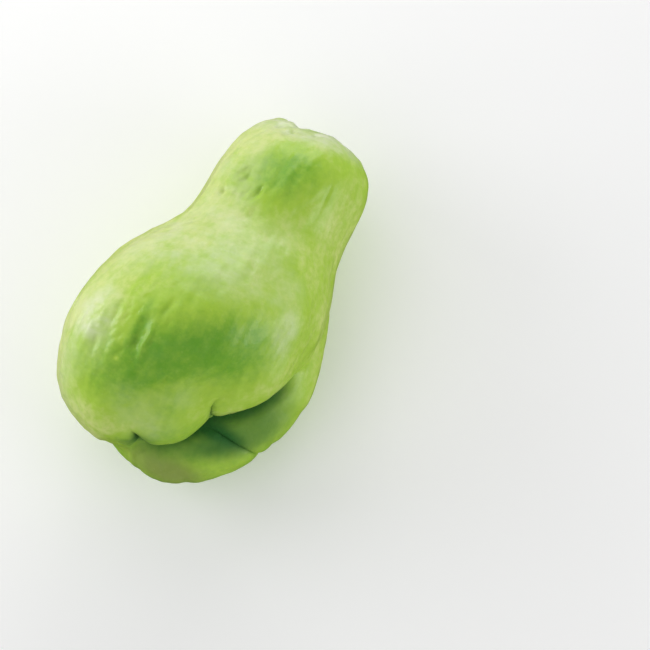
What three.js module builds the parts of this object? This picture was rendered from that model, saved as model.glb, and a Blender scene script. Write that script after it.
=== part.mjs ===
// Chayote squash: one whole fruit as picked, lying on its broad side.
// Millimetres. X runs across the fruit, Y towards its stem end, Z up from the surface it lies on.
// The origin is moved at the end to the middle of the bounding box's floor.

import * as THREE from "three";
import { mergeVertices } from "three/addons/utils/BufferGeometryUtils.js";

// Driving dimensions of the pear form
const FRUIT_MIDDLE_Y = 6.5;
const FRUIT_HALF_LENGTH = 71;
const STATION_REACH = 10;

// Cross-sections along the fruit before both ends round off:
// [y, middle x, half width, middle z, half height]
const STATIONS = [
  [-70, 0.5, 33, 42, 36],
  [-55, -19.5, 33, 42, 39],
  [-40, -11, 38.5, 41.5, 42],
  [-25, -5.5, 42.5, 41, 43],
  [-10, 0.5, 42, 40, 41.5],
  [5, 4.5, 41.5, 37, 37],
  [20, 7.5, 34.5, 33, 31.5],
  [35, 10.5, 31, 30, 27.5],
  [50, 8.5, 30, 29, 26.5],
  [65, 2, 29, 29, 27],
  [80, -1.5, 29, 29, 27],
];

// Swellings that grow out of the pear form: middle, half sizes, turn about Z in degrees
const HEAD = { middle: [11, 51, 29.5], half: [30.5, 23, 27.5], turn: 40 };
const MIDDLE_LOBE = { middle: [5, -40, 48], half: [15, 16, 15], turn: 10 };
const RIGHT_LOBE = { middle: [23, -22, 47], half: [20, 13, 15], turn: 45 };
const LEFT_LIP = { middle: [6.5, -37, 18.5], half: [27.5, 29.5, 17], turn: 2 };
const RIGHT_LIP = { middle: [19.5, -16, 21], half: [29.5, 40, 19.5], turn: -2 };

// How widely each join is rounded
const HEAD_BLEND = 14;
const LOBE_BLEND = 8;
const LIP_BLEND = 8;

// The mouth is a sharp join between the lobes and the lips.
// It is rounded on the underside, and a little at its left end.
const MOUTH_BLEND = 3;
const UNDERSIDE_BLEND = 18;
const UNDERSIDE_LOW = 12;
const UNDERSIDE_HIGH = 30;
const LEFT_END_BLEND = 9;
const LEFT_END_FROM = -6;
const LEFT_END_TO = 3;

// Points inside the fruit that the skin is measured from
const BODY_CORE = new THREE.Vector3(-2, -20, 40);
const HEAD_CORE = new THREE.Vector3(11, 52, 29);
const CORE_TURN_FROM = -0.1;
const CORE_TURN_TO = 0.8;

// Clefts: two rounded lobes touch along a line on the skin
const MOUTH = {
  depth: 5,
  half_width: 6,
  fade: [0.15, 0.2],
  route: [
    [-2, -55, 57.5], [-1, -56.5, 54], [0.5, -57.5, 49.5], [1.5, -57.5, 43], [3, -55.5, 37], [5, -52.5, 35],
    [8, -50.5, 34.5], [12, -48, 35], [16, -45, 35.5], [18.5, -41.5, 36.5], [21, -38.5, 37], [24.5, -36, 37],
    [28, -33, 37], [32.5, -29, 36.5], [35, -24.5, 36.5], [37.5, -19, 36], [40, -13, 35], [43, -6, 33],
  ],
};
const BETWEEN_LOBES = {
  depth: 2.6,
  half_width: 6,
  fade: [0.05, 0.7],
  route: [
    [21, -39, 40], [21.5, -39, 48], [22, -37.5, 54.5], [22.5, -35.5, 57], [24.5, -33, 58], [28, -29, 58.5],
  ],
};
const BETWEEN_LIPS = {
  depth: 2.2,
  half_width: 5,
  fade: [0.15, 0.5],
  route: [
    [15, -45, 36], [18, -44, 36], [21, -43, 35.5], [24, -42.5, 34.5], [27.5, -43, 33], [31, -43.5, 31.5],
    [34.5, -43.5, 29], [37.5, -43, 25], [38.5, -40, 15], [33, -35, 6],
  ],
};

// Soft furrows (negative height) and ridges (positive): a rounded dent or swelling along a line
const RIGHT_RIDGE = {
  height: 1.2,
  half_width: 6,
  fade: [0.4, 0.3],
  route: [[17, 42, 57], [25, 27, 57], [34, 13, 58], [41, -2, 53], [43, -10, 46]],
};
const HOLLOW_ABOVE_LOBES = {
  height: -0.9,
  half_width: 7,
  fade: [0.3, 0.4],
  route: [[-5, -46, 70], [7, -42, 68], [20, -32, 66], [30, -22, 63], [37, -10, 58]],
};
const GROOVE_BY_RIDGE = {
  height: -0.8,
  half_width: 2.4,
  fade: [0.4, 0.5],
  route: [[-9.5, -21, 79], [-9.5, -28, 78], [-9.5, -32, 76.5], [-10, -40, 73], [-9.5, -45, 69.5]],
};
const OUTER_LEFT_FURROW = {
  height: -0.7,
  half_width: 3,
  fade: [0.4, 0.4],
  route: [[-19, -18, 78], [-21, -31, 74], [-25, -39, 69], [-27.5, -45, 64]],
};
const GROOVE_UNDER_MOUTH = {
  height: -1,
  half_width: 1.8,
  fade: [0.2, 0.6],
  route: [[1, -58, 44], [0.5, -59, 36], [0.5, -60.5, 28], [1, -63, 22]],
};
const BLUNT_LEFT_END = {
  height: -2.6,
  half_width: 7,
  fade: [0.35, 0.35],
  route: [[-14, -62.5, 42], [-9, -64, 42], [-5, -63.5, 42], [-1, -61, 43], [2, -57, 44]],
};
const LOWER_LEFT_NOTCH = {
  height: -0.6,
  half_width: 2.4,
  fade: [0.6, 0.3],
  route: [[-9, -57, 58], [-5.5, -61.5, 51], [-4.5, -63.5, 44], [-4.5, -63, 34]],
};

// Ribs that run from the mouth over both lips and under the fruit
const LIP_FURROW = { height: -0.9, half_width: 3.2, fade: [0.3, 0.6], bow: [4, -4, 0] };
const LIP_FURROW_ENDS = [
  { from: [11, -54, 33], to: [14, -54, 5] },
  { from: [31, -37, 34], to: [40, -25, 6] },
  { from: [37, -27, 35], to: [44, -8, 7] },
];

// Stem end: a small pit with furrows round it, and a dry scar where the stalk was
const STEM_PIT = { middle: [5, 78, 31], depth: 4.2, half_width: 5 };
const STEM_SCAR = { height: 1.2, half_width: 2.2, edge_from: 0.7, edge_to: 1.2 };
const STEM_FURROW = {
  height: -1.1,
  half_width: 2,
  fade: [0.2, 0.7],
  count: 7,
  from: 4,
  to: 17,
  first_turn: 95,
};

// Shallow furrows along the whole fruit, evenly spaced round it
const LONG_FURROW = { count: 5, depth: 0.5, start: 0.8 };

// Slow waves that keep the skin from looking turned on a lathe
const WAVES = [
  { height: 0.3, length: [55, 90, 62], start: 0.4 },
  { height: 0.22, length: [-41, 58, 37], start: 2.1 },
  { height: 0.16, length: [29, -38, 44], start: 4.2 },
];

// Faces along X, Y and Z of the box that is blown up into the fruit
const FACES_ACROSS = 20;
const FACES_ALONG = 36;

// Points drawn along a line for each point of its route
const LINE_STEPS = 12;

// Corners nearer to a cleft than this are drawn towards its line, which keeps the line sharp
const PINCH_REACH = 4;

// Height at which the underside is pressed flat, before the fruit is set on its floor
const REST_LEVEL = -1.3;

// A walk to the skin goes this share of the distance left at each step
const WALK_SHARE = 0.8;
const WALK_STEPS_FROM_CORE = 60;
const WALK_STEPS_NEAR_SKIN = 12;
const SLOPE_STEP = 0.2;
const TINY = 1e-9;

const SKIN_COLOUR = 0x9ac24f;
const SKIN_ROUGHNESS = 0.42;

const { degToRad, smoothstep } = THREE.MathUtils;

function smoothMin(a, b, blend) {
  const near = Math.max(blend - Math.abs(a - b), 0) / blend;
  return Math.min(a, b) - (near * near * blend) / 4;
}

// The pear's section at a place along the fruit: middle x, half width, middle z, half height
function sectionAt(y) {
  const total = [0, 0, 0, 0];
  let weight = 0;
  for (const [station_y, ...section] of STATIONS) {
    const share = Math.exp(-0.5 * ((y - station_y) / STATION_REACH) ** 2);
    weight += share;
    section.forEach((value, i) => {
      total[i] += share * value;
    });
  }
  return total.map((value) => value / weight);
}

// Signed distance, roughly in millimetres, to an ellipsoid with half sizes a, b and c
function roundDistance(x, y, z, a, b, c) {
  const inside = Math.hypot(x / a, y / b, z / c);
  const slope = Math.hypot(x / (a * a), y / (b * b), z / (c * c)) + TINY;
  return (inside * (inside - 1)) / slope;
}

function pearDistance(p) {
  const [x, half_width, z, half_height] = sectionAt(p.y);
  return roundDistance(p.x - x, p.y - FRUIT_MIDDLE_Y, p.z - z, half_width, FRUIT_HALF_LENGTH, half_height);
}

function swellingDistance(p, swelling) {
  const turn = degToRad(swelling.turn);
  const x = p.x - swelling.middle[0];
  const y = p.y - swelling.middle[1];
  const across = x * Math.cos(turn) + y * Math.sin(turn);
  const along = y * Math.cos(turn) - x * Math.sin(turn);
  return roundDistance(across, along, p.z - swelling.middle[2], ...swelling.half);
}

// How widely the lobes and the lips are rounded into each other at a point
function mouthBlendAt(p) {
  const low = 1 - smoothstep(p.z, UNDERSIDE_LOW, UNDERSIDE_HIGH);
  const left = 1 - smoothstep(p.x, LEFT_END_FROM, LEFT_END_TO);
  const rounding = Math.max(low * (UNDERSIDE_BLEND - MOUTH_BLEND), left * (LEFT_END_BLEND - MOUTH_BLEND));
  return MOUTH_BLEND + rounding;
}

function fruitDistance(p) {
  let upper = smoothMin(pearDistance(p), swellingDistance(p, HEAD), HEAD_BLEND);
  upper = smoothMin(upper, swellingDistance(p, MIDDLE_LOBE), LOBE_BLEND);
  upper = smoothMin(upper, swellingDistance(p, RIGHT_LOBE), LOBE_BLEND);
  const lips = smoothMin(swellingDistance(p, LEFT_LIP), swellingDistance(p, RIGHT_LIP), LIP_BLEND);
  return smoothMin(upper, lips, mouthBlendAt(p));
}

function outwardAt(p) {
  const slope = new THREE.Vector3();
  for (const axis of ["x", "y", "z"]) {
    const ahead = p.clone();
    const behind = p.clone();
    ahead[axis] += SLOPE_STEP;
    behind[axis] -= SLOPE_STEP;
    slope[axis] = fruitDistance(ahead) - fruitDistance(behind);
  }
  return slope.normalize();
}

// Walks a point that is near the skin onto it
function settleOnSkin(point) {
  const p = new THREE.Vector3(...point);
  for (let i = 0; i < WALK_STEPS_NEAR_SKIN; i += 1) {
    p.addScaledVector(outwardAt(p), -WALK_SHARE * fruitDistance(p));
  }
  return p;
}

// Goes out from the core along a direction until it meets the skin
function skinPoint(direction) {
  const share = smoothstep(direction.y, CORE_TURN_FROM, CORE_TURN_TO);
  const p = BODY_CORE.clone().lerp(HEAD_CORE, share);
  for (let i = 0; i < WALK_STEPS_FROM_CORE; i += 1) {
    p.addScaledVector(direction, -WALK_SHARE * fruitDistance(p));
  }
  return p;
}

function drawLine(line) {
  const curve = new THREE.CatmullRomCurve3(line.route.map(settleOnSkin));
  return { ...line, points: curve.getSpacedPoints(LINE_STEPS * line.route.length) };
}

// Distance from a point to a drawn line, how strong the line is there, and its nearest point
function nearestOnLine(p, line) {
  let best = Infinity;
  let best_index = 0;
  line.points.forEach((point, index) => {
    const distance = point.distanceToSquared(p);
    if (distance < best) {
      best = distance;
      best_index = index;
    }
  });
  const t = best_index / (line.points.length - 1);
  const strength = smoothstep(t, 0, line.fade[0]) * smoothstep(1 - t, 0, line.fade[1]);
  return { distance: Math.sqrt(best), strength, point: line.points[best_index] };
}

function lipFurrows() {
  return LIP_FURROW_ENDS.map(({ from, to }) => {
    const middle = from.map((value, i) => (value + to[i]) / 2 + LIP_FURROW.bow[i]);
    return { ...LIP_FURROW, route: [from, middle, to] };
  });
}

function stemFurrows() {
  const [x, y, z] = STEM_PIT.middle;
  const { count, from, to, first_turn } = STEM_FURROW;
  return Array.from({ length: count }, (_, i) => {
    const turn = degToRad(first_turn + (360 * i) / count);
    const radii = [from, (from + to) / 2, to];
    const route = radii.map((radius) => [x + radius * Math.cos(turn), y, z + radius * Math.sin(turn)]);
    return { ...STEM_FURROW, route };
  });
}

const clefts = [MOUTH, BETWEEN_LOBES, BETWEEN_LIPS].map(drawLine);
const soft_lines = [
  RIGHT_RIDGE,
  HOLLOW_ABOVE_LOBES,
  GROOVE_BY_RIDGE,
  OUTER_LEFT_FURROW,
  GROOVE_UNDER_MOUTH,
  BLUNT_LEFT_END,
  LOWER_LEFT_NOTCH,
  ...lipFurrows(),
  ...stemFurrows(),
].map(drawLine);
const stem_pit = settleOnSkin(STEM_PIT.middle);

function cleftRelief(p) {
  let relief = 0;
  for (const cleft of clefts) {
    const { distance, strength } = nearestOnLine(p, cleft);
    const side = Math.max(1 - distance / cleft.half_width, 0);
    relief -= cleft.depth * strength * (1 - Math.sqrt(1 - side * side));
  }
  return relief;
}

function softRelief(p) {
  let relief = 0;
  for (const line of soft_lines) {
    const { distance, strength } = nearestOnLine(p, line);
    relief += line.height * strength * Math.exp(-((distance / line.half_width) ** 2));
  }
  return relief;
}

function stemPitRelief(p) {
  const distance = p.distanceTo(stem_pit);
  const pit = STEM_PIT.depth * Math.exp(-((distance / STEM_PIT.half_width) ** 2));
  const edge = smoothstep(distance / STEM_SCAR.half_width, STEM_SCAR.edge_from, STEM_SCAR.edge_to);
  return STEM_SCAR.height * (1 - edge) - pit;
}

// Broad shallow furrows from end to end, strongest halfway
function longFurrowRelief(p) {
  const [x, , z] = sectionAt(p.y);
  const turn = Math.atan2(p.z - z, p.x - x);
  const along = (p.y - FRUIT_MIDDLE_Y) / FRUIT_HALF_LENGTH;
  const strength = Math.max(1 - along * along, 0);
  return LONG_FURROW.depth * strength * Math.cos(LONG_FURROW.count * turn + LONG_FURROW.start);
}

function waveRelief(p) {
  let relief = 0;
  for (const { height, length, start } of WAVES) {
    const phase = p.x / length[0] + p.y / length[1] + p.z / length[2];
    relief += height * Math.sin(2 * Math.PI * phase + start);
  }
  return relief;
}

// How far the skin stands out from, or sinks under, the smooth form at a point of it
function reliefAt(p) {
  return cleftRelief(p) + softRelief(p) + stemPitRelief(p) + longFurrowRelief(p) + waveRelief(p);
}

function pinchToClefts(p) {
  for (const cleft of clefts) {
    const { distance, strength, point } = nearestOnLine(p, cleft);
    p.lerp(point, strength * Math.max(1 - distance / PINCH_REACH, 0));
  }
}

// A box's corner, on the cube from -1 to 1, gives the way out to a corner of the fruit
function directionTo(corner) {
  const spread = corner.toArray().map((value) => Math.tan((value * Math.PI) / 4));
  return new THREE.Vector3(...spread).normalize();
}

function fruitGeometry() {
  const box = new THREE.BoxGeometry(2, 2, 2, FACES_ACROSS, FACES_ALONG, FACES_ACROSS);
  box.deleteAttribute("normal");
  box.deleteAttribute("uv");
  const geometry = mergeVertices(box);
  const position = geometry.getAttribute("position");
  const corner = new THREE.Vector3();
  for (let i = 0; i < position.count; i += 1) {
    corner.fromBufferAttribute(position, i);
    const p = skinPoint(directionTo(corner));
    pinchToClefts(p);
    p.addScaledVector(outwardAt(p), reliefAt(p));
    position.setXYZ(i, p.x, p.y, Math.max(p.z, REST_LEVEL));
  }
  geometry.computeBoundingBox();
  const { min, max } = geometry.boundingBox;
  geometry.translate(-(min.x + max.x) / 2, -(min.y + max.y) / 2, -min.z);
  geometry.computeVertexNormals();
  return geometry;
}

const skin = new THREE.MeshStandardMaterial({ color: SKIN_COLOUR, roughness: SKIN_ROUGHNESS, metalness: 0 });
const fruit = new THREE.Mesh(fruitGeometry(), skin);
fruit.name = "chayote_fruit";

const group = new THREE.Group();
group.add(fruit);

export default group;
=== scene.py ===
import bpy
import math
import numpy as np
from mathutils import Matrix, Vector


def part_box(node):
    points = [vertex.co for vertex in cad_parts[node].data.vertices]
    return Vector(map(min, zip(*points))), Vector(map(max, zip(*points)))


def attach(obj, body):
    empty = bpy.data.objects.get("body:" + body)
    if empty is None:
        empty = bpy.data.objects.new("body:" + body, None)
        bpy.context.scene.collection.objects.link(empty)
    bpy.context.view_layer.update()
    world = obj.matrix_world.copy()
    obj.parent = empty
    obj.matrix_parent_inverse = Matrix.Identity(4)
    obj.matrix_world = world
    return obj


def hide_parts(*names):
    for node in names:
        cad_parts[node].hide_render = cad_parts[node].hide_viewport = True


# Chayote squash: one whole fruit lying on its broad side.
# The form is worked out in millimetres, X across the fruit, Y towards its stem end, Z up.
# It is turned into metres only where the mesh, the camera and the lights are made.

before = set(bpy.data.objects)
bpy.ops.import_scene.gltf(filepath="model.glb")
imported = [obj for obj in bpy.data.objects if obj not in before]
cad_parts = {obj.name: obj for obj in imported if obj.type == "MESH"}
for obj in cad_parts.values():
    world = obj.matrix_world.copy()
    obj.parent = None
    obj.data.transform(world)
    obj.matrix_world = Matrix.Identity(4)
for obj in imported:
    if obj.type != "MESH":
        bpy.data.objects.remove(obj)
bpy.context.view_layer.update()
FRUIT_NODE = "chayote_fruit"
MM = 0.001

# Driving dimensions of the pear form
FRUIT_MIDDLE_Y = 6.5
FRUIT_HALF_LENGTH = 71.0
STATION_REACH = 10.0

# Cross-sections along the fruit before both ends round off:
# y, middle x, half width, middle z, half height
STATIONS = np.array([
    (-70, 0.5, 33, 42, 36),
    (-55, -19.5, 33, 42, 39),
    (-40, -11, 38.5, 41.5, 42),
    (-25, -5.5, 42.5, 41, 43),
    (-10, 0.5, 42, 40, 41.5),
    (5, 4.5, 41.5, 37, 37),
    (20, 7.5, 34.5, 33, 31.5),
    (35, 10.5, 31, 30, 27.5),
    (50, 8.5, 30, 29, 26.5),
    (65, 2, 29, 29, 27),
    (80, -1.5, 29, 29, 27),
])

# Swellings that grow out of the pear form: middle, half sizes, turn about Z in degrees
HEAD = dict(middle=(11, 51, 29.5), half=(30.5, 23, 27.5), turn=40)
MIDDLE_LOBE = dict(middle=(5, -40, 48), half=(15, 16, 15), turn=10)
RIGHT_LOBE = dict(middle=(23, -22, 47), half=(20, 13, 15), turn=45)
LEFT_LIP = dict(middle=(6.5, -37, 18.5), half=(27.5, 29.5, 17), turn=2)
RIGHT_LIP = dict(middle=(19.5, -16, 21), half=(29.5, 40, 19.5), turn=-2)

# How widely each join is rounded
HEAD_BLEND = 14
LOBE_BLEND = 8
LIP_BLEND = 8

# The mouth is a sharp join between the lobes and the lips.
# It is rounded on the underside, and a little at its left end.
MOUTH_BLEND = 3
UNDERSIDE_BLEND = 18
UNDERSIDE_LOW = 12
UNDERSIDE_HIGH = 30
LEFT_END_BLEND = 9
LEFT_END_FROM = -6
LEFT_END_TO = 3

# Points inside the fruit that the skin is measured from
BODY_CORE = np.array((-2.0, -20, 40))
HEAD_CORE = np.array((11.0, 52, 29))
CORE_TURN_FROM = -0.1
CORE_TURN_TO = 0.8

# Clefts: two rounded lobes touch along a line on the skin
CLEFTS = {
    "mouth": dict(
        depth=5, half_width=6, fade=(0.15, 0.2),
        route=[(-2, -55, 57.5), (-1, -56.5, 54), (0.5, -57.5, 49.5), (1.5, -57.5, 43), (3, -55.5, 37),
               (5, -52.5, 35), (8, -50.5, 34.5), (12, -48, 35), (16, -45, 35.5), (18.5, -41.5, 36.5),
               (21, -38.5, 37), (24.5, -36, 37), (28, -33, 37), (32.5, -29, 36.5), (35, -24.5, 36.5),
               (37.5, -19, 36), (40, -13, 35), (43, -6, 33)]),
    "between_lobes": dict(
        depth=2.6, half_width=6, fade=(0.05, 0.7),
        route=[(21, -39, 40), (21.5, -39, 48), (22, -37.5, 54.5), (22.5, -35.5, 57), (24.5, -33, 58),
               (28, -29, 58.5)]),
    "between_lips": dict(
        depth=2.2, half_width=5, fade=(0.15, 0.5),
        route=[(15, -45, 36), (18, -44, 36), (21, -43, 35.5), (24, -42.5, 34.5), (27.5, -43, 33),
               (31, -43.5, 31.5), (34.5, -43.5, 29), (37.5, -43, 25), (38.5, -40, 15), (33, -35, 6)]),
}

# Soft furrows (negative height) and ridges (positive): a rounded dent or swelling along a line
SOFT_LINES = {
    "right_ridge": dict(
        height=1.2, half_width=6, fade=(0.4, 0.3),
        route=[(17, 42, 57), (25, 27, 57), (34, 13, 58), (41, -2, 53), (43, -10, 46)]),
    "hollow_above_lobes": dict(
        height=-0.9, half_width=7, fade=(0.3, 0.4),
        route=[(-5, -46, 70), (7, -42, 68), (20, -32, 66), (30, -22, 63), (37, -10, 58)]),
    "short_ridge": dict(
        height=0.7, half_width=0.95, fade=(0.2, 0.25),
        route=[(-5.6, -22.5, 79), (-5.7, -25.8, 79), (-6.2, -28.5, 78), (-6.7, -30.7, 77), (-6.2, -32.5, 77),
               (-6, -34.5, 75), (-6.4, -37, 74)]),
    "groove_by_ridge": dict(
        height=-0.8, half_width=1.7, fade=(0.3, 0.4),
        route=[(-7.5, -18, 79.5), (-8.1, -22, 78.7), (-8.9, -25, 77.7), (-9.3, -27.4, 77), (-8.6, -31, 75.7),
               (-8.8, -36, 74)]),
    "outer_left_furrow": dict(
        height=-0.7, half_width=3, fade=(0.4, 0.4),
        route=[(-19, -18, 78), (-21, -31, 74), (-25, -39, 69), (-27.5, -45, 64)]),
    "inner_left_furrow": dict(
        height=-0.6, half_width=2, fade=(0.4, 0.4),
        route=[(-17, -28, 76), (-19, -35, 74), (-20, -39.5, 71.6), (-20.6, -45, 68)]),
    "groove_under_mouth": dict(
        height=-1, half_width=1.8, fade=(0.2, 0.6),
        route=[(1, -58, 44), (0.5, -59, 36), (0.5, -60.5, 28), (1, -63, 22)]),
    "blunt_left_end": dict(
        height=-2.6, half_width=7, fade=(0.35, 0.35),
        route=[(-14, -62.5, 42), (-9, -64, 42), (-5, -63.5, 42), (-1, -61, 43), (2, -57, 44)]),
    "lower_left_notch": dict(
        height=-0.6, half_width=2.4, fade=(0.6, 0.3),
        route=[(-9, -57, 58), (-5.5, -61.5, 51), (-4.5, -63.5, 44), (-4.5, -63, 34)]),
    "ridge_below_groove": dict(
        height=0.8, half_width=1.0, fade=(0.3, 0.4),
        route=[(-2.2, -60.5, 34), (-2.2, -61, 27), (-1.5, -63, 23), (-0.8, -63.5, 17)]),
    "faint_lip_line": dict(
        height=0.35, half_width=0.8, fade=(0.3, 0.3),
        route=[(6, -56, 31), (8, -58.3, 29.8), (10.7, -61.5, 26.7), (11.6, -63.6, 22)]),
}

# Ribs that run from the mouth over both lips and under the fruit
LIP_FURROW = dict(height=-0.9, half_width=3.2, fade=(0.3, 0.6))
LIP_FURROW_BOW = (4, -4, 0)
LIP_FURROW_ENDS = [
    ((11, -54, 33), (14, -54, 5)),
    ((31, -37, 34), (40, -25, 6)),
    ((37, -27, 35), (44, -8, 7)),
]

# Single small dents: place, half width, depth; a negative depth is a small bump
DENTS = {
    "left_of_head_upper": ((-2.4, 45.5, 54.6), 1.2, 0.55),
    "left_of_head_middle": ((-4.3, 42.7, 54.5), 1.3, 0.5),
    "left_of_head_lower": ((-4, 37, 55.4), 1.1, 0.4),
    "below_head": ((2.7, 39, 56.8), 1.2, 0.35),
    "below_head_right": ((4.2, 42, 56.6), 1.2, 0.35),
    "above_short_ridge": ((-10.6, -22.4, 78.4), 1.5, 0.45),
    "left_of_belly_upper": ((-16.5, -19.6, 77), 1.4, 0.35),
    "left_of_belly_top": ((-12.4, -14.4, 78), 1.4, 0.35),
    "top_of_shoulder": ((1.3, 1.4, 75.4), 1.3, -0.25),
    "left_of_shoulder": ((-6.9, -5.6, 77.2), 1.3, -0.25),
    "right_of_stem_end": ((12.6, 72.4, 46), 1.3, 0.6),
}

# Stem end: a small pit with furrows round it and a dry scar where the stalk was
STEM_PIT = dict(middle=(5, 78, 31), depth=4.2, half_width=5)
STEM_SCAR_HALF_WIDTH = 2.2
STEM_SCAR_HEIGHT = 1.2
STEM_SCAR_EDGE = (0.7, 1.2)
STEM_SCAR_COLOUR_EDGE = (0.8, 1.3)
STEM_FURROW = dict(height=-1.1, half_width=2.0, fade=(0.2, 0.7))
STEM_FURROW_COUNT = 7
STEM_FURROW_FROM = 4
STEM_FURROW_TO = 17
STEM_FURROW_FIRST_TURN = 95
STEM_FOLDS = {
    "upper_fold": dict(
        height=-0.9, half_width=1.0, fade=(0.3, 0.3),
        route=[(-2.4, 69.6, 45.5), (-1.6, 72, 43.5), (0.5, 74, 42.3), (4.2, 74, 43.5)]),
    "lower_fold": dict(
        height=-0.9, half_width=1.0, fade=(0.3, 0.5),
        route=[(4.5, 73, 44.5), (3.9, 71, 47), (2.4, 69, 48.4), (1.4, 66, 50.4)]),
}

# Shallow furrows along the whole fruit
LONG_FURROW_COUNT = 5
LONG_FURROW_DEPTH = 0.5
LONG_FURROW_START = 0.8

# Fine wrinkles: short soft dents and welts, gathered in fields on the skin.
# A field has its middle and half sizes, the way that its wrinkles run, and how much they slant.
WRINKLE_SEED = 11
WRINKLE_FIELDS = {
    "everywhere": dict(
        middle=(0, 0, 40), half=(200, 200, 200), count=130, run=(0, 1, 0), slant=0.35,
        length=(5, 16), half_width=(0.7, 1.4), height=(-0.4, 0.15)),
    "left_flank": dict(
        middle=(-26, -30, 68), half=(15, 26, 22), count=70, run=(0.1, 1, 0.2), slant=0.4,
        length=(4, 13), half_width=(0.6, 1.2), height=(-0.3, 0.16)),
    "left_of_belly": dict(
        middle=(-11, -18, 78), half=(11, 20, 12), count=40, run=(0.3, 1, 0.1), slant=0.6,
        length=(3, 8), half_width=(0.7, 1.4), height=(-0.32, 0.14)),
    "shoulder": dict(
        middle=(2, 8, 72), half=(26, 20, 20), count=60, run=(1, 0.4, 0), slant=0.5,
        length=(3, 9), half_width=(0.7, 1.3), height=(-0.2, 0.2)),
    "neck": dict(
        middle=(0, 30, 58), half=(18, 16, 16), count=50, run=(1, 0.3, 0), slant=0.6,
        length=(3, 8), half_width=(0.7, 1.2), height=(-0.3, 0.25)),
    "left_of_head": dict(
        middle=(-3, 42, 55), half=(9, 9, 12), count=40, run=(0.6, 1, 0), slant=1.0,
        length=(1.5, 4), half_width=(0.7, 1.2), height=(-0.8, 0.4)),
    "head": dict(
        middle=(8, 52, 56), half=(20, 18, 14), count=30, run=(0.8, 1, 0), slant=0.8,
        length=(3, 8), half_width=(0.7, 1.3), height=(-0.3, 0.2)),
    "middle_lobe": dict(
        middle=(4, -50, 60), half=(16, 8, 12), count=16, run=(0, 0.5, 1), slant=0.4,
        length=(4, 9), half_width=(0.8, 1.4), height=(-0.2, 0.2)),
}

# Ripples drawn out along the fruit: wavelength across it, height
RIPPLE_SEED = 4
RIPPLES_PER_SIZE = 24
RIPPLES = [(15, 0.14), (6, 0.08), (3.2, 0.045)]
RIPPLE_DRAW = 0.4

# Slow waves that keep the skin from looking turned on a lathe
WAVES = [
    dict(height=0.3, length=(55, 90, 62), start=0.4),
    dict(height=0.22, length=(-41, 58, 37), start=2.1),
    dict(height=0.16, length=(29, -38, 44), start=4.2),
]

# Skin tone, 0 pale yellow-green to 1 deep green, as soft round patches, later ones over earlier ones.
# Some patches are painted light and shade rather than the skin's own colour: pale where the side lamps fall,
# deep green where shade falls.
# A patch has its middle, half sizes, turn about Z in degrees, softness of its edge, and tone.
TONE_ELSEWHERE = 0.42
TONE_LIGHT_AND_SHADE_PATCHES = [
    # Painted light: paler on the left side, left of the neck, the low left edge and the right band, where
    # the side lamps fall
    dict(middle=(-42, -15, 50), half=(26, 60, 45), turn=-8, soft=0.6, tone=0.12),
    dict(middle=(-10, 45, 40), half=(16, 40, 40), turn=0, soft=0.6, tone=0.12),
    dict(middle=(-27, -56, 42), half=(18, 14, 30), turn=0, soft=0.6, tone=0.2),
    dict(middle=(45, 5, 50), half=(18, 55, 40), turn=0, soft=0.6, tone=0.36),
    # Deeper green, partly painted shade: the lips, the belly and the head's middle, the groove by the short
    # ridge, and the band above the middle lobe's rim
    dict(middle=(12, -58, 15), half=(50, 40, 24), turn=35, soft=0.4, tone=0.66),
    dict(middle=(-10, -44, 69), half=(9, 12, 12), turn=0, soft=0.8, tone=0.82),
    dict(middle=(12, -42, 64), half=(13, 5, 10), turn=30, soft=0.8, tone=0.6),
    dict(middle=(3, -22, 80), half=(34, 12, 34), turn=30, soft=0.8, tone=0.57),
    dict(middle=(7, -28, 78), half=(31, 9, 34), turn=32, soft=0.8, tone=1.0),
    dict(middle=(-9.5, -26, 77), half=(3, 9, 5), turn=5, soft=0.8, tone=1.0),
    dict(middle=(26, -17, 68), half=(11, 9, 12), turn=35, soft=0.8, tone=0.9),
    dict(middle=(7, 45, 58), half=(16, 12, 20), turn=0, soft=0.8, tone=0.52),
    dict(middle=(10.5, 53.5, 57.5), half=(9.5, 9, 20), turn=20, soft=0.8, tone=0.87),
    dict(middle=(6, -55, 48), half=(18, 4, 8), turn=35, soft=0.6, tone=0.75),
    # A pale speck, the skin's own colour
    dict(middle=(-13.6, -37.5, 73.5), half=(0.7, 0.7, 2), turn=0, soft=0.6, tone=0.5),
]

# Painted shade inside the mouth, where the lips tuck in under the lobes: how far it reaches from the rim,
# its share above the rim, how far a point must lie above or below the rim to count so, and patches in the
# middle and on both lips
MOUTH_SHADE_REACH = 6.0
RIM_SHADE = 0.5
RIM_HEIGHTS = (-1.0, 2.0)
SHADE_PATCHES = [
    dict(middle=(23, -43, 33), half=(18, 9, 10), turn=25, soft=0.5, tone=1.0),
    dict(middle=(35, -33, 34), half=(14, 9, 10), turn=40, soft=0.7, tone=0.65),
    dict(middle=(9, -52, 34), half=(14, 6, 8), turn=25, soft=0.7, tone=0.5),
    dict(middle=(24, -43, 34), half=(11, 3, 8), turn=0, soft=0.6, tone=1.0),
]

# Painted shade low on the left lip, olive as under warm bounce light
OLIVE_SHADE_PATCHES = [
    dict(middle=(12, -62, 25), half=(14, 6, 8), turn=0, soft=0.7, tone=0.8),
]
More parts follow.
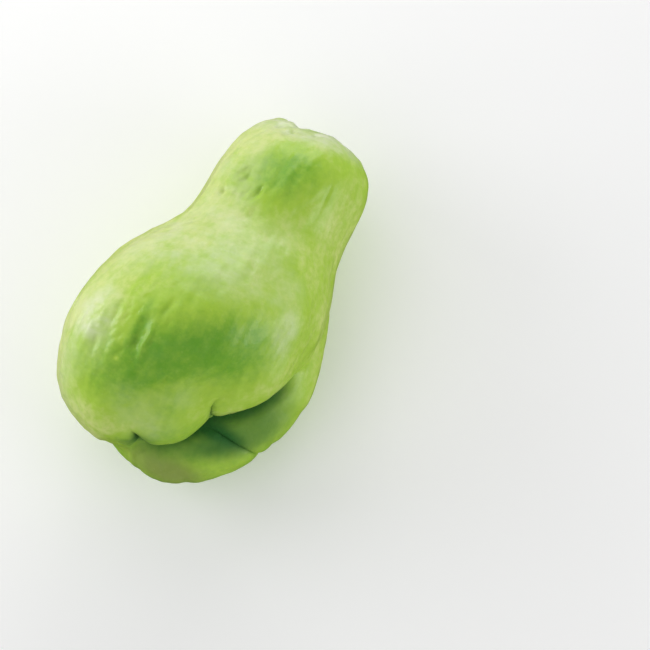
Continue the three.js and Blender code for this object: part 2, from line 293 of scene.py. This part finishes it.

# Waxy bloom and painted sheen, 0 none to 1 whole, as soft round patches; the patches lie where the lamps and
# the pale surroundings would shine off the skin
BLOOM_AND_SHEEN_ELSEWHERE = 0.05
BLOOM_AND_SHEEN_PATCHES = [
    dict(middle=(-34, -36, 60), half=(10, 26, 20), turn=-12, soft=0.6, tone=0.6),
    dict(middle=(-24, -36, 71), half=(6, 10, 10), turn=-8, soft=0.7, tone=0.35),
    dict(middle=(-27.5, -25, 72), half=(8, 9, 10), turn=-15, soft=0.4, tone=1.15),
    dict(middle=(4, 9, 70), half=(28, 12, 22), turn=0, soft=0.6, tone=0.62),
    dict(middle=(19, 22, 60), half=(8, 14, 12), turn=0, soft=0.7, tone=0.35),
    dict(middle=(22, 12, 64), half=(10, 7, 12), turn=0, soft=0.7, tone=0.5),
    dict(middle=(-4, 22, 62), half=(16, 12, 16), turn=0, soft=0.7, tone=0.6),
    dict(middle=(-20, 10, 62), half=(10, 18, 16), turn=-20, soft=0.7, tone=0.85),
    dict(middle=(2, 76, 44), half=(28, 9, 17), turn=0, soft=0.5, tone=1.6),
    dict(middle=(-29, -58, 40), half=(12, 9, 18), turn=-35, soft=0.7, tone=0.5),
    dict(middle=(-8, 42, 46), half=(10, 26, 22), turn=0, soft=0.7, tone=0.6),
    dict(middle=(35, -4, 61), half=(4, 8, 7), turn=15, soft=0.6, tone=0.7),
    dict(middle=(-5, -49, 65), half=(6, 6, 7), turn=0, soft=0.8, tone=0.3),
    dict(middle=(3, -52, 58), half=(8, 6, 8), turn=0, soft=0.8, tone=0.4),
    dict(middle=(10, -40, 64), half=(8, 4, 6), turn=30, soft=0.8, tone=0.3),
]

# How points are walked onto the skin: steps from near it, steps from the core,
# and the share of the measured distance that each step takes
SETTLE_STEPS = 12
SKIN_STEPS = 50
STEP_SHARE = 0.8
SLOPE_STEP = 0.2
CURVE_STEPS = 24

# Faces of the box that is blown up into the fruit
FACES_ACROSS = 100
FACES_ALONG = 180
LINE_STEPS = 12
PINCH_REACH = 4.0
REST_LEVEL = -1.3

# Camera, as the photograph sees the fruit
VIEW_AZIMUTH = 24.0
VIEW_ELEVATION = 78.0
VIEW_DISTANCE = 600.0
PHOTO_SIZE = 650
MM_PER_PIXEL = 0.37
SEEN_POINT = (0.0, 0.0, 38.0)
SEEN_PIXEL = (205.0, 300.0)
SENSOR_WIDTH = 36.0

# Lights stand round this point of the fruit, at this distance in metres
LIT_POINT = (5.0, -5.0, 45.0)
LIGHT_DISTANCE = 0.6

# Square soft lights: azimuth from +X and elevation in degrees, side in metres, power in watts.
# Low ones from the sides bring out the relief.
LIGHTS = {
    "stem_side": dict(azimuth=100, elevation=17, size=0.35, power=1.0),
    "left": dict(azimuth=186, elevation=19, size=0.35, power=1.25),
    "upper_left": dict(azimuth=135, elevation=40, size=0.35, power=0.4),
    "right": dict(azimuth=6, elevation=13, size=0.35, power=1.0),
    "mouth_side": dict(azimuth=242, elevation=38, size=0.5, power=0.55),
}
NOT_IN_GLOSS = ("mouth_side",)
SKY_STRENGTH = 0.45

# Plain pale floor: half its side in metres, colour, glow and roughness
FLOOR_REACH = 3.0
FLOOR_COLOUR = (0.94, 0.94, 0.94, 1)
FLOOR_GLOW = 0.1
FLOOR_ROUGHNESS = 0.8
WHITE = (1, 1, 1, 1)


def smooth_min(a, b, blend):
    near = np.maximum(blend - np.abs(a - b), 0.0) / blend
    return np.minimum(a, b) - near * near * blend / 4


def smoothstep(low, high, value):
    t = np.clip((value - low) / (high - low), 0.0, 1.0)
    return t * t * (3 - 2 * t)


def sections_at(y):
    share = np.exp(-0.5 * ((y[:, None] - STATIONS[:, 0]) / STATION_REACH) ** 2)
    share /= share.sum(axis=1, keepdims=True)
    return (share @ STATIONS[:, 1:]).T


def round_distance(offset, half):
    """Signed distance, roughly in millimetres, to an ellipsoid."""
    inside = np.sqrt(sum((o / h) ** 2 for o, h in zip(offset, half)))
    slope = np.sqrt(sum((o / h**2) ** 2 for o, h in zip(offset, half))) + 1e-9
    return inside * (inside - 1) / slope


def pear_distance(p):
    x, half_width, z, half_height = sections_at(p[:, 1])
    offset = (p[:, 0] - x, p[:, 1] - FRUIT_MIDDLE_Y, p[:, 2] - z)
    return round_distance(offset, (half_width, FRUIT_HALF_LENGTH, half_height))


def swelling_distance(p, middle, half, turn):
    x, y, z = (p - np.array(middle, float)).T
    c = math.cos(math.radians(turn))
    s = math.sin(math.radians(turn))
    return round_distance((x * c + y * s, y * c - x * s, z), half)


def mouth_blend_at(p):
    """How widely the lobes and the lips are rounded into each other."""
    low = 1 - smoothstep(UNDERSIDE_LOW, UNDERSIDE_HIGH, p[:, 2])
    left = 1 - smoothstep(LEFT_END_FROM, LEFT_END_TO, p[:, 0])
    more_below = low * (UNDERSIDE_BLEND - MOUTH_BLEND)
    more_at_left = left * (LEFT_END_BLEND - MOUTH_BLEND)
    return MOUTH_BLEND + np.maximum(more_below, more_at_left)


def fruit_distance(p):
    upper = smooth_min(pear_distance(p), swelling_distance(p, **HEAD), HEAD_BLEND)
    upper = smooth_min(upper, swelling_distance(p, **MIDDLE_LOBE), LOBE_BLEND)
    upper = smooth_min(upper, swelling_distance(p, **RIGHT_LOBE), LOBE_BLEND)
    lips = smooth_min(swelling_distance(p, **LEFT_LIP), swelling_distance(p, **RIGHT_LIP), LIP_BLEND)
    return smooth_min(upper, lips, mouth_blend_at(p))


def outward_at(p):
    steps = SLOPE_STEP * np.eye(3)
    slope = np.stack([fruit_distance(p + step) - fruit_distance(p - step) for step in steps], axis=1)
    return slope / np.linalg.norm(slope, axis=1, keepdims=True)


def settle_on_skin(points):
    """Walks points that are near the skin onto it."""
    p = np.array(points, float)
    for _ in range(SETTLE_STEPS):
        p -= STEP_SHARE * fruit_distance(p)[:, None] * outward_at(p)
    return p


def skin_points(directions):
    """Goes out from the core along each direction until it meets the skin."""
    share = smoothstep(CORE_TURN_FROM, CORE_TURN_TO, directions[:, 1])[:, None]
    p = BODY_CORE + (HEAD_CORE - BODY_CORE) * share
    for _ in range(SKIN_STEPS):
        p = p - STEP_SHARE * fruit_distance(p)[:, None] * directions
    return p


def smooth_curve(points, count):
    """Evenly spaced points on a smooth curve through the given ones."""
    p = np.vstack([2 * points[0] - points[1], points, 2 * points[-1] - points[-2]])
    t = np.linspace(0, 1, CURVE_STEPS, endpoint=False)[:, None]
    pieces = []
    for a, b, c, d in zip(p[:-3], p[1:-2], p[2:-1], p[3:]):
        bend = 2 * a - 5 * b + 4 * c - d + t * (3 * (b - c) + d - a)
        pieces.append(b + 0.5 * t * (c - a + t * bend))
    fine = np.vstack(pieces + [points[-1:]])
    run = np.concatenate([[0], np.cumsum(np.linalg.norm(np.diff(fine, axis=0), axis=1))])
    even = np.linspace(0, run[-1], count)
    return np.stack([np.interp(even, run, fine[:, k]) for k in range(3)], axis=1)


def draw_line(line):
    points = smooth_curve(settle_on_skin(line["route"]), LINE_STEPS * len(line["route"]) + 1)
    return dict(line, points=points)


def nearest_on_line(p, line):
    """Distance from each point to the line, the line's strength there, and its nearest point."""
    points = line["points"]
    best = np.full(len(p), np.inf)
    index = np.zeros(len(p), int)
    for i, q in enumerate(points):
        distance = ((p - q) ** 2).sum(axis=1)
        closer = distance < best
        best[closer] = distance[closer]
        index[closer] = i
    t = index / (len(points) - 1)
    strength = smoothstep(0, line["fade"][0], t) * smoothstep(0, line["fade"][1], 1 - t)
    return np.sqrt(best), strength, points[index]


def lip_furrows():
    furrows = []
    for start, end in LIP_FURROW_ENDS:
        middle = tuple((a + b) / 2 + bow for a, b, bow in zip(start, end, LIP_FURROW_BOW))
        furrows.append(dict(LIP_FURROW, route=[start, middle, end]))
    return furrows


def stem_furrows():
    x, y, z = STEM_PIT["middle"]
    furrows = []
    for i in range(STEM_FURROW_COUNT):
        turn = math.radians(STEM_FURROW_FIRST_TURN + 360 * i / STEM_FURROW_COUNT)
        radii = (STEM_FURROW_FROM, (STEM_FURROW_FROM + STEM_FURROW_TO) / 2, STEM_FURROW_TO)
        route = [(x + r * math.cos(turn), y, z + r * math.sin(turn)) for r in radii]
        furrows.append(dict(STEM_FURROW, route=route))
    return furrows


def cleft_relief(p, clefts):
    relief = np.zeros(len(p))
    for cleft in clefts:
        distance, strength, _ = nearest_on_line(p, cleft)
        side = np.clip(1 - distance / cleft["half_width"], 0, 1)
        relief -= cleft["depth"] * strength * (1 - np.sqrt(1 - side**2))
    return relief


def soft_relief(p, lines):
    relief = np.zeros(len(p))
    for line in lines:
        distance, strength, _ = nearest_on_line(p, line)
        relief += line["height"] * strength * np.exp(-((distance / line["half_width"]) ** 2))
    return relief


def stem_distance(p):
    return np.linalg.norm(p - settle_on_skin([STEM_PIT["middle"]])[0], axis=1)


def stem_pit_relief(p):
    distance = stem_distance(p)
    pit = STEM_PIT["depth"] * np.exp(-((distance / STEM_PIT["half_width"]) ** 2))
    scar = STEM_SCAR_HEIGHT * (1 - smoothstep(*STEM_SCAR_EDGE, distance / STEM_SCAR_HALF_WIDTH))
    return scar - pit


def dent_relief(p):
    relief = np.zeros(len(p))
    for place, half_width, depth in DENTS.values():
        distance = np.linalg.norm(p - settle_on_skin([place])[0], axis=1)
        relief -= depth * np.exp(-((distance / half_width) ** 2))
    return relief


def long_furrow_relief(p):
    """Broad shallow furrows from end to end, strongest halfway."""
    x, _, z, _ = sections_at(p[:, 1])
    turn = np.arctan2(p[:, 2] - z, p[:, 0] - x)
    along = (p[:, 1] - FRUIT_MIDDLE_Y) / FRUIT_HALF_LENGTH
    strength = np.clip(1 - along**2, 0, 1)
    return LONG_FURROW_DEPTH * strength * np.cos(LONG_FURROW_COUNT * turn + LONG_FURROW_START)


def wrinkle_relief(p):
    draw = np.random.default_rng(WRINKLE_SEED)
    relief = np.zeros(len(p))
    for field in WRINKLE_FIELDS.values():
        reach = np.linalg.norm((p - np.array(field["middle"])) / np.array(field["half"]), axis=1)
        inside = p[reach < 1]
        for place in inside[draw.integers(0, len(inside), field["count"])]:
            relief += one_wrinkle(p - place, field, draw)
    return relief


def one_wrinkle(offset, field, draw):
    length = draw.uniform(*field["length"])
    half_width = draw.uniform(*field["half_width"])
    height = draw.uniform(*field["height"])
    run = np.array(field["run"]) + field["slant"] * draw.uniform(-1, 1, 3)
    run /= np.linalg.norm(run)
    along = offset @ run
    across = np.linalg.norm(offset - along[:, None] * run, axis=1)
    return height * np.exp(-((across / half_width) ** 2) - (2 * along / length) ** 4)


def ripple_relief(p):
    draw = np.random.default_rng(RIPPLE_SEED)
    relief = np.zeros(len(p))
    for size, height in RIPPLES:
        for _ in range(RIPPLES_PER_SIZE):
            way = draw.normal(size=3)
            way /= np.linalg.norm(way)
            way[1] *= RIPPLE_DRAW
            start = draw.uniform(0, 2 * np.pi)
            relief += height * math.sqrt(2 / RIPPLES_PER_SIZE) * np.sin(2 * np.pi * (p @ way) / size + start)
    return relief


def wave_relief(p):
    relief = np.zeros(len(p))
    for wave in WAVES:
        phase = (p / np.array(wave["length"])).sum(axis=1)
        relief += wave["height"] * np.sin(2 * np.pi * phase + wave["start"])
    return relief


def pinch_to_clefts(p, clefts):
    """Draws corners near a cleft towards its line, which keeps the line sharp."""
    for cleft in clefts:
        distance, strength, nearest = nearest_on_line(p, cleft)
        pull = strength * np.clip(1 - distance / PINCH_REACH, 0, 1)
        p = p + (nearest - p) * pull[:, None]
    return p


def box_grid(across, along):
    """Corners and four-sided faces of a box's surface, in whole steps, with its faces outward."""
    size = (across, along, across)
    corners = {}
    order = []
    faces = []
    for axis in range(3):
        u_axis = (axis + 1) % 3
        v_axis = (axis + 2) % 3
        for side in (0, size[axis]):
            grid = np.zeros((size[u_axis] + 1, size[v_axis] + 1), int)
            for u in range(size[u_axis] + 1):
                for v in range(size[v_axis] + 1):
                    key = [0, 0, 0]
                    key[axis] = side
                    key[u_axis] = u
                    key[v_axis] = v
                    key = tuple(key)
                    if key not in corners:
                        corners[key] = len(order)
                        order.append(key)
                    grid[u, v] = corners[key]
            quads = np.stack([grid[:-1, :-1], grid[1:, :-1], grid[1:, 1:], grid[:-1, 1:]], axis=-1)
            quads = quads.reshape(-1, 4)
            faces.append(quads if side else quads[:, ::-1])
    return np.array(order, float) / np.array(size) * 2 - 1, np.vstack(faces)


def scar_at(p):
    return 1 - smoothstep(*STEM_SCAR_COLOUR_EDGE, stem_distance(p) / STEM_SCAR_HALF_WIDTH)


def fruit_shape():
    """Corners in millimetres, faces, and each corner's skin values."""
    clefts = [draw_line(cleft) for cleft in CLEFTS.values()]
    lines = [*SOFT_LINES.values(), *STEM_FOLDS.values(), *lip_furrows(), *stem_furrows()]
    soft_lines = [draw_line(line) for line in lines]
    corners, faces = box_grid(FACES_ACROSS, FACES_ALONG)
    directions = np.tan(corners * math.pi / 4)
    directions /= np.linalg.norm(directions, axis=1, keepdims=True)
    p = skin_points(directions)
    p = pinch_to_clefts(p, clefts)
    sunk = cleft_relief(p, clefts)
    relief = sunk + soft_relief(p, soft_lines) + stem_pit_relief(p) + wave_relief(p)
    relief += long_furrow_relief(p) + dent_relief(p) + wrinkle_relief(p) + ripple_relief(p)
    p = p + outward_at(p) * relief[:, None]
    p[:, 2] = np.maximum(p[:, 2], REST_LEVEL)
    # Skin values: tone and bloom carry painted light and shade besides the skin's own colour; olive and
    # shade are painted shade
    values = {
        "sunk": -sunk,
        "tone": patched(p, TONE_ELSEWHERE, TONE_LIGHT_AND_SHADE_PATCHES),
        "bloom_and_sheen": patched(p, BLOOM_AND_SHEEN_ELSEWHERE, BLOOM_AND_SHEEN_PATCHES),
        "olive_shade": patched(p, 0, OLIVE_SHADE_PATCHES),
        "shade": shade_at(p, clefts[0]),
        "scar": scar_at(p),
    }
    return p, faces, values


def patched(p, start, patches):
    """A value that is start everywhere but in its patches, which fade at their edges."""
    value = np.full(len(p), float(start))
    for patch in patches:
        turn = math.radians(patch["turn"])
        x, y, z = (p - np.array(patch["middle"], float)).T
        across = x * math.cos(turn) + y * math.sin(turn)
        along = y * math.cos(turn) - x * math.sin(turn)
        reach = np.sqrt(sum((o / h) ** 2 for o, h in zip((across, along, z), patch["half"])))
        value += (patch["tone"] - value) * (1 - smoothstep(1 - patch["soft"], 1 + patch["soft"], reach))
    return value


def shade_at(p, mouth):
    """Painted shade on the lips where they tuck in under the lobes."""
    distance, strength, nearest = nearest_on_line(p, mouth)
    below = smoothstep(*RIM_HEIGHTS, nearest[:, 2] - p[:, 2])
    side = RIM_SHADE + (1 - RIM_SHADE) * below
    near_rim = strength**2 * side * np.exp(-((distance / MOUTH_SHADE_REACH) ** 2))
    return np.maximum(near_rim, below * patched(p, 0.0, SHADE_PATCHES))


def shift_to_frame(corners):
    """The move, in millimetres, that sets the form in the middle of its packed box."""
    low, high = (np.array(corner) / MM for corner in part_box(FRUIT_NODE))
    middle = (low + high) / 2 - (corners.min(axis=0) + corners.max(axis=0)) / 2
    middle[2] = low[2] - corners[:, 2].min()
    return middle


def make_fruit():
    corners, faces, values = fruit_shape()
    shift = shift_to_frame(corners)
    mesh = bpy.data.meshes.new("chayote_skin")
    mesh.from_pydata(((corners + shift) * MM).tolist(), [], faces.tolist())
    mesh.shade_smooth()
    for name, value in values.items():
        attribute = mesh.attributes.new(name, "FLOAT", "POINT")
        attribute.data.foreach_set("value", value.astype(np.float32))
    fruit = bpy.data.objects.new("chayote_skin", mesh)
    bpy.context.collection.objects.link(fruit)
    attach(fruit, "root")
    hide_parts(FRUIT_NODE)
    return fruit, shift


class Nodes:
    """Short ways to add and join shader nodes in one material."""

    def __init__(self, name):
        self.material = bpy.data.materials.new(name)
        self.material.use_nodes = True
        self.tree = self.material.node_tree
        self.shader = self.tree.nodes["Principled BSDF"]

    def link(self, value, socket):
        if isinstance(value, bpy.types.NodeSocket):
            self.tree.links.new(value, socket)
        else:
            socket.default_value = value

    def attribute(self, name):
        node = self.tree.nodes.new("ShaderNodeAttribute")
        node.attribute_name = name
        return node.outputs["Fac"]

    def place(self, stretch):
        """The skin point in millimetres, squeezed along an axis where stretch is under 1."""
        spot = self.tree.nodes.new("ShaderNodeTexCoord")
        mapping = self.tree.nodes.new("ShaderNodeMapping")
        mapping.inputs["Scale"].default_value = [value / MM for value in stretch]
        self.link(spot.outputs["Object"], mapping.inputs["Vector"])
        return mapping.outputs["Vector"]

    def noise(self, size, detail, roughness, stretch=(1, 1, 1)):
        node = self.tree.nodes.new("ShaderNodeTexNoise")
        node.inputs["Scale"].default_value = 1 / size
        node.inputs["Detail"].default_value = detail
        node.inputs["Roughness"].default_value = roughness
        self.link(self.place(stretch), node.inputs["Vector"])
        return node.outputs["Fac"]

    def cells(self, size):
        node = self.tree.nodes.new("ShaderNodeTexVoronoi")
        node.inputs["Scale"].default_value = 1 / size
        self.link(self.place((1, 1, 1)), node.inputs["Vector"])
        return node.outputs["Distance"]

    def spread(self, value, low, high, to_low=0.0, to_high=1.0):
        node = self.tree.nodes.new("ShaderNodeMapRange")
        node.interpolation_type = "SMOOTHSTEP"
        node.inputs["From Min"].default_value = low
        node.inputs["From Max"].default_value = high
        node.inputs["To Min"].default_value = to_low
        node.inputs["To Max"].default_value = to_high
        self.link(value, node.inputs["Value"])
        return node.outputs["Result"]

    def either_way(self, noise, change):
        """A noise as a change of up to this much, down or up."""
        return self.spread(noise, *NOISE_RANGE, -change, change)

    def math(self, kind, a, b):
        node = self.tree.nodes.new("ShaderNodeMath")
        node.operation = kind
        self.link(a, node.inputs[0])
        self.link(b, node.inputs[1])
        return node.outputs[0]

    def mix(self, share, a, b):
        node = self.tree.nodes.new("ShaderNodeMix")
        node.data_type = "RGBA"
        self.link(share, node.inputs["Factor"])
        self.link(a, node.inputs["A"])
        self.link(b, node.inputs["B"])
        return node.outputs["Result"]

    def bump(self, height, distance, strength, normal=None):
        node = self.tree.nodes.new("ShaderNodeBump")
        node.inputs["Distance"].default_value = distance * MM
        node.inputs["Strength"].default_value = strength
        self.link(height, node.inputs["Height"])
        if normal is not None:
            self.link(normal, node.inputs["Normal"])
        return node.outputs["Normal"]


# Skin colours, linear. The pale and deep greens also carry painted light and shade, the olive and the
# darkest green are painted shade, and the whitish bloom colour also paints sheen.
PALE_SKIN_AND_LIGHT = (0.70, 0.80, 0.26, 1)
MID_SKIN = (0.42, 0.66, 0.05, 1)
DEEP_SKIN_AND_SHADE = (0.14, 0.41, 0.016, 1)
OLIVE_SHADE_SKIN = (0.27, 0.34, 0.07, 1)
PAINTED_SHADE_SKIN = (0.022, 0.155, 0.02, 1)
BLOOM_AND_SHEEN_SKIN = (0.80, 0.86, 0.60, 1)
PORE_SKIN = (0.62, 0.78, 0.25, 1)
SCAR_SKIN = (0.36, 0.26, 0.13, 1)


# Noises that break up the skin: size in millimetres, detail, roughness, and stretch along X, Y and Z.
# The range is where each one is read.
BLOTCHES = dict(size=22, detail=3, roughness=0.5)
STREAKS = dict(size=5, detail=2, roughness=0.5, stretch=(1, 0.3, 1))
MOTTLING = dict(size=2.4, detail=3, roughness=0.6)
BLOOM_AND_SHEEN_SMEARS = dict(size=9, detail=3, roughness=0.55)
BLOOM_AND_SHEEN_STROKES = dict(size=4, detail=3, roughness=0.6, stretch=(0.35, 1, 1))
LUMPS = dict(size=2.6, detail=3, roughness=0.6, stretch=(1, 0.6, 1))
GRAIN = dict(size=0.5, detail=2, roughness=0.6)
NOISE_RANGE = (0.3, 0.7)
BLOOM_AND_SHEEN_NOISE_RANGE = (0.35, 0.65)

# How much the noises change the tone, and the share of bloom and painted sheen where it is thin and where it
# is thick
BLOTCH_CHANGE = 0.1
STREAK_CHANGE = 0.06
MOTTLING_CHANGE = 0.07
BLOOM_AND_SHEEN_THIN = 0.28
BLOOM_AND_SHEEN_THICK = 0.56
BLOOM_AND_SHEEN_STROKE_CHANGE = 0.1

# Tones between which one skin colour turns into the next
PALE_TO_MID = (0.0, 0.5)
MID_TO_DEEP = (0.4, 1.2)

# Pores: spacing in millimetres, edge as a share of the spacing, and strength
PORE_SPACING = 2.6
PORE_EDGE = (0.05, 0.25)
PORE_SHARE = 0.07

# Painted shade in the clefts comes in over these depths in millimetres, up to this share
SUNK_DEPTHS = (0.4, 3.0)
SUNK_SHARE = 0.8

# Surface: bumps in millimetres and their strength, roughness from the lumps' low to high places,
# what the mouth's painted shade adds to it, and light that passes under the skin
LUMP_BUMP = dict(distance=0.35, strength=0.6)
GRAIN_BUMP = dict(distance=0.05, strength=0.4)
SKIN_ROUGHNESS = (0.3, 0.4)
MOUTH_ROUGHNESS = 0.4
SPECULAR_LEVEL = 0.5
UNDER_SKIN_SHARE = 0.12
UNDER_SKIN_RADIUS = (1.0, 1.2, 0.5)
UNDER_SKIN_REACH = 3.0


def tone_light_and_shade(n):
    """The drawn tone, with its painted light and shade, broken up by blotches, streaks along the fruit and
    fine mottling.
    """
    tone = n.math("ADD", n.attribute("tone"), n.either_way(n.noise(**BLOTCHES), BLOTCH_CHANGE))
    tone = n.math("ADD", tone, n.either_way(n.noise(**STREAKS), STREAK_CHANGE))
    return n.math("ADD", tone, n.either_way(n.noise(**MOTTLING), MOTTLING_CHANGE))


def bloom_and_sheen_share(n):
    """Bloom and painted sheen lie in irregular smears, with some thin strokes across the fruit."""
    smears = n.spread(n.noise(**BLOOM_AND_SHEEN_SMEARS), *BLOOM_AND_SHEEN_NOISE_RANGE, BLOOM_AND_SHEEN_THIN, BLOOM_AND_SHEEN_THICK)
    strokes = n.noise(**BLOOM_AND_SHEEN_STROKES)
    strokes = n.spread(strokes, *BLOOM_AND_SHEEN_NOISE_RANGE, -BLOOM_AND_SHEEN_STROKE_CHANGE, BLOOM_AND_SHEEN_STROKE_CHANGE)
    return n.math("MULTIPLY", n.attribute("bloom_and_sheen"), n.math("ADD", smears, strokes))


def skin_colour(n):
    tone = tone_light_and_shade(n)
    # Paler where painted light falls and deeper where painted shade falls, as well as the skin's own tone
    colour = n.mix(n.spread(tone, *PALE_TO_MID), PALE_SKIN_AND_LIGHT, MID_SKIN)
    colour = n.mix(n.spread(tone, *MID_TO_DEEP), colour, DEEP_SKIN_AND_SHADE)
    # Painted shade, olive, low on the left lip
    colour = n.mix(n.attribute("olive_shade"), colour, OLIVE_SHADE_SKIN)
    # Waxy bloom and painted sheen, whitish
    colour = n.mix(bloom_and_sheen_share(n), colour, BLOOM_AND_SHEEN_SKIN)
    colour = n.mix(n.spread(n.cells(PORE_SPACING), *PORE_EDGE, PORE_SHARE, 0.0), colour, PORE_SKIN)
    # Painted shade in the mouth under the lobes, in the darkest green
    colour = n.mix(n.attribute("shade"), colour, PAINTED_SHADE_SKIN)
    # Painted shade in the clefts, darker where they sink deeper
    colour = n.mix(n.spread(n.attribute("sunk"), *SUNK_DEPTHS, 0.0, SUNK_SHARE), colour, PAINTED_SHADE_SKIN)
    return n.mix(n.attribute("scar"), colour, SCAR_SKIN)


def make_skin_material():
    n = Nodes("chayote_skin")
    n.link(skin_colour(n), n.shader.inputs["Base Color"])
    lumps = n.noise(**LUMPS)
    normal = n.bump(lumps, **LUMP_BUMP)
    normal = n.bump(n.noise(**GRAIN), **GRAIN_BUMP, normal=normal)
    n.link(normal, n.shader.inputs["Normal"])
    roughness = n.spread(lumps, *NOISE_RANGE, *SKIN_ROUGHNESS)
    in_mouth = n.math("MULTIPLY", n.attribute("shade"), MOUTH_ROUGHNESS)
    n.link(n.math("ADD", roughness, in_mouth), n.shader.inputs["Roughness"])
    n.shader.inputs["Specular IOR Level"].default_value = SPECULAR_LEVEL
    n.shader.inputs["Subsurface Weight"].default_value = UNDER_SKIN_SHARE
    n.shader.inputs["Subsurface Radius"].default_value = UNDER_SKIN_RADIUS
    n.shader.inputs["Subsurface Scale"].default_value = UNDER_SKIN_REACH * MM
    return n.material


def view_axes():
    a = math.radians(VIEW_AZIMUTH)
    e = math.radians(VIEW_ELEVATION)
    right = Vector((math.cos(a), math.sin(a), 0))
    up = Vector((-math.sin(e) * math.sin(a), math.sin(e) * math.cos(a), math.cos(e)))
    forward = Vector((-math.cos(e) * math.sin(a), math.cos(e) * math.cos(a), -math.sin(e)))
    return right, up, forward


def make_camera(shift):
    right, up, forward = view_axes()
    seen = Vector(SEEN_POINT) + Vector(shift)
    half = PHOTO_SIZE / 2
    aim = seen - right * (SEEN_PIXEL[0] - half) * MM_PER_PIXEL - up * (half - SEEN_PIXEL[1]) * MM_PER_PIXEL
    data = bpy.data.cameras.new("camera")
    data.sensor_width = SENSOR_WIDTH
    data.lens = SENSOR_WIDTH * VIEW_DISTANCE / (MM_PER_PIXEL * PHOTO_SIZE)
    camera = bpy.data.objects.new("camera", data)
    bpy.context.collection.objects.link(camera)
    turn = Matrix((right, up, -forward)).transposed().to_4x4()
    camera.matrix_world = Matrix.Translation((aim - forward * VIEW_DISTANCE) * MM) @ turn
    bpy.context.scene.camera = camera


def make_floor():
    mesh = bpy.data.meshes.new("floor")
    signs = [(-1, -1), (1, -1), (1, 1), (-1, 1)]
    corners = [(x * FLOOR_REACH, y * FLOOR_REACH, 0) for x, y in signs]
    mesh.from_pydata(corners, [], [(0, 1, 2, 3)])
    floor = bpy.data.objects.new("floor", mesh)
    bpy.context.collection.objects.link(floor)
    material = bpy.data.materials.new("floor")
    material.use_nodes = True
    shader = material.node_tree.nodes["Principled BSDF"]
    shader.inputs["Base Color"].default_value = FLOOR_COLOUR
    shader.inputs["Emission Color"].default_value = WHITE
    shader.inputs["Emission Strength"].default_value = FLOOR_GLOW
    shader.inputs["Roughness"].default_value = FLOOR_ROUGHNESS
    mesh.materials.append(material)
    floor.visible_glossy = False


def add_area_light(name, aim, azimuth, elevation, size, power):
    """A square soft light that stands round the fruit and looks at aim."""
    a = math.radians(azimuth)
    e = math.radians(elevation)
    way = Vector((math.cos(e) * math.cos(a), math.cos(e) * math.sin(a), math.sin(e)))
    data = bpy.data.lights.new(name, "AREA")
    data.shape = "SQUARE"
    data.size = size
    data.energy = power
    light = bpy.data.objects.new(name, data)
    bpy.context.collection.objects.link(light)
    light.location = aim + way * LIGHT_DISTANCE
    light.rotation_euler = (-way).to_track_quat("-Z", "Y").to_euler()
    return light


def make_lights(shift):
    aim = (Vector(LIT_POINT) + Vector(shift)) * MM
    for name, values in LIGHTS.items():
        light = add_area_light(name, aim, **values)
        light.visible_glossy = name not in NOT_IN_GLOSS


def make_sky():
    world = bpy.data.worlds.new("soft_sky")
    world.use_nodes = True
    background = world.node_tree.nodes["Background"]
    background.inputs["Color"].default_value = WHITE
    background.inputs["Strength"].default_value = SKY_STRENGTH
    world.cycles_visibility.glossy = False
    bpy.context.scene.world = world


fruit, shift = make_fruit()
fruit.data.materials.append(make_skin_material())
make_camera(shift)
make_floor()
make_lights(shift)
make_sky()
bpy.context.scene.view_settings.view_transform = "Standard"

bpy.context.view_layer.update()
